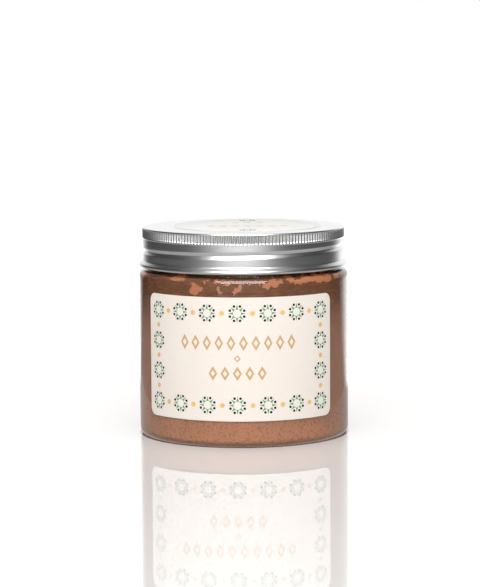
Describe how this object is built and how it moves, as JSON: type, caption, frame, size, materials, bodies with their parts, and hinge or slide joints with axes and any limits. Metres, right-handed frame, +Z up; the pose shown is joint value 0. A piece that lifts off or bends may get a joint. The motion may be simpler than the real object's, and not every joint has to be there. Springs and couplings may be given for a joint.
{
  "type": "jar of drinking chocolate powder",
  "caption": "Clear straight-sided jar of drinking chocolate powder with an aluminium screw lid, a wrap-round front label and a round lid label.",
  "frame": {"origin": "centre of the jar's base, on the table", "axes": "+Z up along the jar's axis, -Y towards the front, where the label is"},
  "size_m": [0.092, 0.0922, 0.0914],
  "materials": {
    "jar_clear": "clear, smooth, glossy",
    "powder": "dry, matt, fine powder",
    "lid_metal": "finely brushed round the lid",
    "label_paper": "smooth cream paper, printed",
    "sticker_paper": "smooth pale grey paper"
  },
  "bodies": {
    "root": {"jar": "jar_clear", "powder": "powder", "lid": "lid_metal", "front_label": "label_paper", "lid_label": "sticker_paper"}
  },
  "joints": []
}
